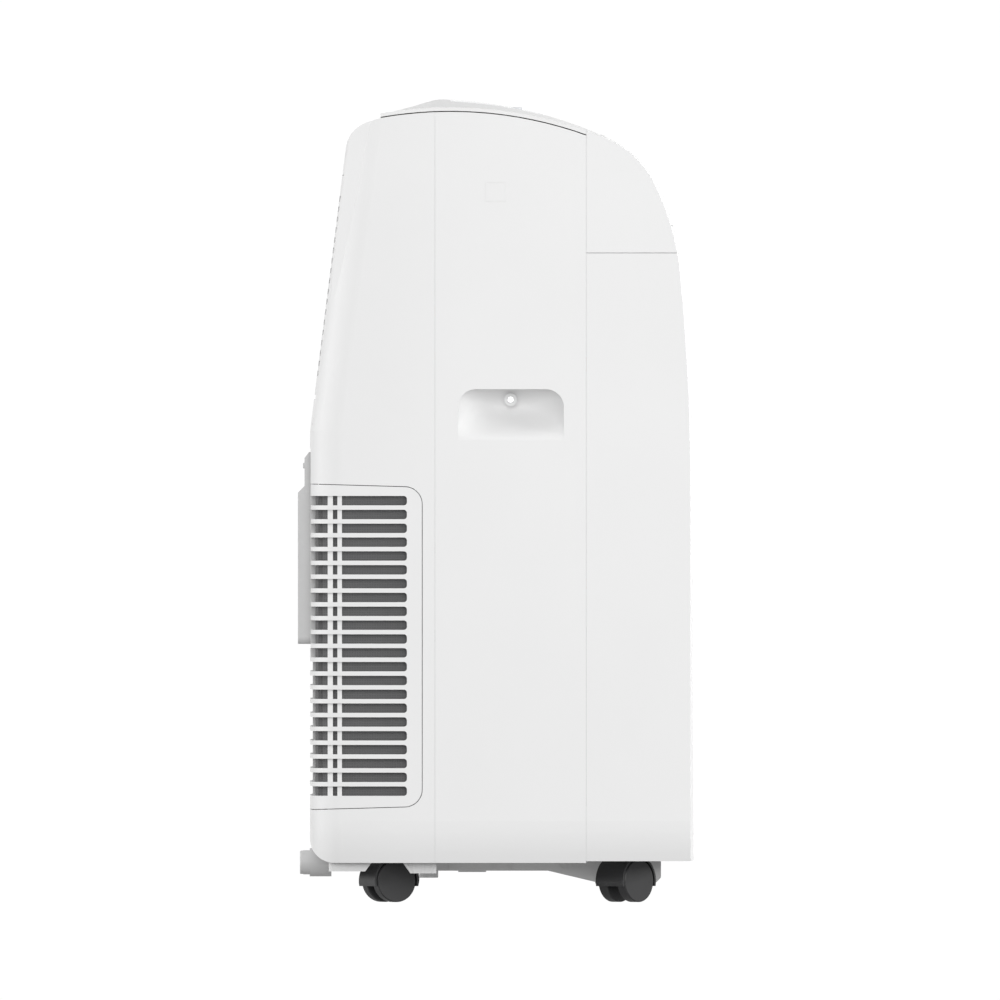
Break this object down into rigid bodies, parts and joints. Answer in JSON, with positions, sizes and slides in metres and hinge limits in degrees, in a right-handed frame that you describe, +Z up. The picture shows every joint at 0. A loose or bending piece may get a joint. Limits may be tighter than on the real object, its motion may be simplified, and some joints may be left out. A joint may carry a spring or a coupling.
{
  "type": "portable air conditioner",
  "caption": "Free-standing portable air conditioner on twin-wheel casters: crowned casing with louvered outlet, wrap-round intake grille, rear exhaust port, side handles and drain spout.",
  "frame": {"origin": "on the floor, at the middle of the footprint's bounding box", "axes": "+Z up, -Y to the front with the louver, +Y to the rear with the exhaust port, +X across"},
  "size_m": [0.356, 0.3466, 0.7027],
  "materials": {
    "casing_plastic": "satin moulded ABS with a very fine grain",
    "grille_plastic": "satin moulded ABS",
    "base_plastic": "matte polypropylene",
    "duct_plastic": "matte moulded plastic",
    "panel_plastic": "gloss",
    "display_plastic": "dark tinted gloss",
    "button_plastic": "satin gloss",
    "circuit_board": "solder mask",
    "filter_mesh": "woven nylon mesh",
    "fin_aluminium": "finned",
    "copper_tube": "drawn copper",
    "rotor_plastic": "moulded glass filled plastic",
    "motor_steel": "zinc plated",
    "compressor_paint": "black stoving paint",
    "sheet_steel": "galvanised sheet",
    "screw_steel": "zinc plated",
    "rubber": "moulded rubber",
    "caster_plastic": "satin nylon",
    "wheel_plastic": "satin nylon"
  },
  "bodies": {
    "cabinet": {"top_cover": "casing_plastic", "control_panel": "panel_plastic", "display_window": "display_plastic", "control_board": "circuit_board", "right_side_panel": "casing_plastic", "left_side_panel": "casing_plastic", "handle_screws": "screw_steel", "snap_caps": "casing_plastic", "upper_front_frame": "casing_plastic", "front_panel": "casing_plastic", "outlet_duct": "duct_plastic", "blower_housing": "duct_plastic", "blower_motor": "motor_steel", "rear_casing": "casing_plastic", "lower_intake_grille": "grille_plastic", "lower_filter": "filter_mesh", "exhaust_frame": "base_plastic", "rear_screws": "screw_steel", "base_pan": "base_plastic", "cord_gland": "rubber", "caster_stems": "screw_steel", "middle_deck": "duct_plastic", "evaporator_coil": "fin_aluminium", "condenser_coil": "fin_aluminium", "exhaust_scroll": "duct_plastic", "condenser_fan_motor": "motor_steel", "compressor": "compressor_paint", "compressor_mounts": "rubber", "refrigerant_pipes": "copper_tube", "control_box": "sheet_steel"},
    "louver": {"louver_blade": "casing_plastic"},
    "vane_3": {"vane_3": "duct_plastic"},
    "vane_1": {"vane_1": "duct_plastic"},
    "vane_2": {"vane_2": "duct_plastic"},
    "vane_4": {"vane_4": "duct_plastic"},
    "vane_5": {"vane_5": "duct_plastic"},
    "vane_link": {"vane_link": "duct_plastic"},
    "blower_rotor": {"blower_wheel": "rotor_plastic"},
    "condenser_fan_rotor": {"condenser_fan_wheel": "rotor_plastic"},
    "upper_grille": {"upper_intake_grille": "grille_plastic", "upper_filter": "filter_mesh"},
    "exhaust_latch": {"exhaust_latch": "base_plastic"},
    "drain_plug": {"drain_plug": "base_plastic"},
    "button_power": {"button_power": "button_plastic"},
    "button_mode": {"button_mode": "button_plastic"},
    "button_fan": {"button_fan": "button_plastic"},
    "button_down": {"button_down": "button_plastic"},
    "button_up": {"button_up": "button_plastic"},
    "caster_front_left": {"caster_front_left_housing": "caster_plastic"},
    "caster_front_left_wheel_left": {"caster_front_left_wheel_left": "wheel_plastic"},
    "caster_front_left_wheel_right": {"caster_front_left_wheel_right": "wheel_plastic"},
    "caster_front_right": {"caster_front_right_housing": "caster_plastic"},
    "caster_front_right_wheel_left": {"caster_front_right_wheel_left": "wheel_plastic"},
    "caster_front_right_wheel_right": {"caster_front_right_wheel_right": "wheel_plastic"},
    "caster_rear_left": {"caster_rear_left_housing": "caster_plastic"},
    "caster_rear_left_wheel_left": {"caster_rear_left_wheel_left": "wheel_plastic"},
    "caster_rear_left_wheel_right": {"caster_rear_left_wheel_right": "wheel_plastic"},
    "caster_rear_right": {"caster_rear_right_housing": "caster_plastic"},
    "caster_rear_right_wheel_left": {"caster_rear_right_wheel_left": "wheel_plastic"},
    "caster_rear_right_wheel_right": {"caster_rear_right_wheel_right": "wheel_plastic"}
  },
  "joints": [
    {"name": "louver_tilt", "type": "hinge", "parent": "cabinet", "child": "louver", "pos_m": [0, -0.09233, 0.66754], "axis": [-1, 0, 0], "range_deg": [0, 60]},
    {"name": "vane_3_swing", "type": "hinge", "parent": "cabinet", "child": "vane_3", "pos_m": [0, -0.09067, 0.60739], "axis": [0, 0.6157, 0.788], "range_deg": [-30, 30]},
    {"name": "vane_1_swing", "type": "hinge", "parent": "cabinet", "child": "vane_1", "pos_m": [-0.092, -0.09067, 0.60739], "axis": [0, 0.6157, 0.788], "range_deg": [-30, 30]},
    {"name": "vane_2_swing", "type": "hinge", "parent": "cabinet", "child": "vane_2", "pos_m": [-0.046, -0.09067, 0.60739], "axis": [0, 0.6157, 0.788], "range_deg": [-30, 30]},
    {"name": "vane_4_swing", "type": "hinge", "parent": "cabinet", "child": "vane_4", "pos_m": [0.046, -0.09067, 0.60739], "axis": [0, 0.6157, 0.788], "range_deg": [-30, 30]},
    {"name": "vane_5_swing", "type": "hinge", "parent": "cabinet", "child": "vane_5", "pos_m": [0.092, -0.09067, 0.60739], "axis": [0, 0.6157, 0.788], "range_deg": [-30, 30]},
    {"name": "vane_link_slide", "type": "slide", "parent": "cabinet", "child": "vane_link", "axis": [1, 0, 0], "range_m": [-0.0084, 0.0084]},
    {"name": "blower_spin", "type": "hinge", "parent": "cabinet", "child": "blower_rotor", "pos_m": [0, -0.00084, 0.5372], "axis": [1, 0, 0], "continuous": true},
    {"name": "condenser_fan_spin", "type": "hinge", "parent": "cabinet", "child": "condenser_fan_rotor", "pos_m": [0, 0.04, 0.271], "axis": [1, 0, 0], "continuous": true},
    {"name": "upper_grille_tilt", "type": "hinge", "parent": "cabinet", "child": "upper_grille", "pos_m": [0, 0.1536, 0.4442], "axis": [-1, 0, 0], "range_deg": [0, 35]},
    {"name": "exhaust_latch_slide", "type": "slide", "parent": "cabinet", "child": "exhaust_latch", "axis": [0, 0, -1], "range_m": [0, 0.003], "stiffness_N_per_m": 300, "springref_m": -0.002},
    {"name": "drain_plug_pull", "type": "slide", "parent": "cabinet", "child": "drain_plug", "axis": [0, 1, 0], "range_m": [0, 0.02]},
    {"name": "button_power_press", "type": "slide", "parent": "cabinet", "child": "button_power", "axis": [0, 0, -1], "range_m": [0, 0.001], "stiffness_N_per_m": 400, "springref_m": -0.001},
    {"name": "button_mode_press", "type": "slide", "parent": "cabinet", "child": "button_mode", "axis": [0, 0, -1], "range_m": [0, 0.001], "stiffness_N_per_m": 400, "springref_m": -0.001},
    {"name": "button_fan_press", "type": "slide", "parent": "cabinet", "child": "button_fan", "axis": [0, 0, -1], "range_m": [0, 0.001], "stiffness_N_per_m": 400, "springref_m": -0.001},
    {"name": "button_down_press", "type": "slide", "parent": "cabinet", "child": "button_down", "axis": [0, 0, -1], "range_m": [0, 0.001], "stiffness_N_per_m": 400, "springref_m": -0.001},
    {"name": "button_up_press", "type": "slide", "parent": "cabinet", "child": "button_up", "axis": [0, 0, -1], "range_m": [0, 0.001], "stiffness_N_per_m": 400, "springref_m": -0.001},
    {"name": "caster_front_left_swivel", "type": "hinge", "parent": "cabinet", "child": "caster_front_left", "pos_m": [-0.12315, -0.11906, 0.04], "axis": [0, 0, 1], "continuous": true},
    {"name": "caster_front_left_wheel_left_spin", "type": "hinge", "parent": "caster_front_left", "child": "caster_front_left_wheel_left", "pos_m": [-0.129, -0.1136, 0.0185], "axis": [0.682, 0.7314, 0], "continuous": true},
    {"name": "caster_front_left_wheel_right_spin", "type": "hinge", "parent": "caster_front_left", "child": "caster_front_left_wheel_right", "pos_m": [-0.129, -0.1136, 0.0185], "axis": [0.682, 0.7314, 0], "continuous": true},
    {"name": "caster_front_right_swivel", "type": "hinge", "parent": "cabinet", "child": "caster_front_right", "pos_m": [0.12315, -0.11906, 0.04], "axis": [0, 0, 1], "continuous": true},
    {"name": "caster_front_right_wheel_left_spin", "type": "hinge", "parent": "caster_front_right", "child": "caster_front_right_wheel_left", "pos_m": [0.129, -0.1136, 0.0185], "axis": [0.682, -0.7314, 0], "continuous": true},
    {"name": "caster_front_right_wheel_right_spin", "type": "hinge", "parent": "caster_front_right", "child": "caster_front_right_wheel_right", "pos_m": [0.129, -0.1136, 0.0185], "axis": [0.682, -0.7314, 0], "continuous": true},
    {"name": "caster_rear_left_swivel", "type": "hinge", "parent": "cabinet", "child": "caster_rear_left", "pos_m": [-0.12549, 0.08641, 0.04], "axis": [0, 0, 1], "continuous": true},
    {"name": "caster_rear_left_wheel_left_spin", "type": "hinge", "parent": "caster_rear_left", "child": "caster_rear_left_wheel_left", "pos_m": [-0.129, 0.0936, 0.0185], "axis": [0.8988, 0.4384, 0], "continuous": true},
    {"name": "caster_rear_left_wheel_right_spin", "type": "hinge", "parent": "caster_rear_left", "child": "caster_rear_left_wheel_right", "pos_m": [-0.129, 0.0936, 0.0185], "axis": [0.8988, 0.4384, 0], "continuous": true},
    {"name": "caster_rear_right_swivel", "type": "hinge", "parent": "cabinet", "child": "caster_rear_right", "pos_m": [0.12549, 0.08641, 0.04], "axis": [0, 0, 1], "continuous": true},
    {"name": "caster_rear_right_wheel_left_spin", "type": "hinge", "parent": "caster_rear_right", "child": "caster_rear_right_wheel_left", "pos_m": [0.129, 0.0936, 0.0185], "axis": [0.8988, -0.4384, 0], "continuous": true},
    {"name": "caster_rear_right_wheel_right_spin", "type": "hinge", "parent": "caster_rear_right", "child": "caster_rear_right_wheel_right", "pos_m": [0.129, 0.0936, 0.0185], "axis": [0.8988, -0.4384, 0], "continuous": true}
  ],
  "couplings": [
    {"joint": "vane_1_swing", "follows": "vane_3_swing", "ratio": 1},
    {"joint": "vane_2_swing", "follows": "vane_3_swing", "ratio": 1},
    {"joint": "vane_4_swing", "follows": "vane_3_swing", "ratio": 1},
    {"joint": "vane_5_swing", "follows": "vane_3_swing", "ratio": 1},
    {"joint": "vane_link_slide", "follows": "vane_3_swing", "m_per_rad": -0.015}
  ]
}
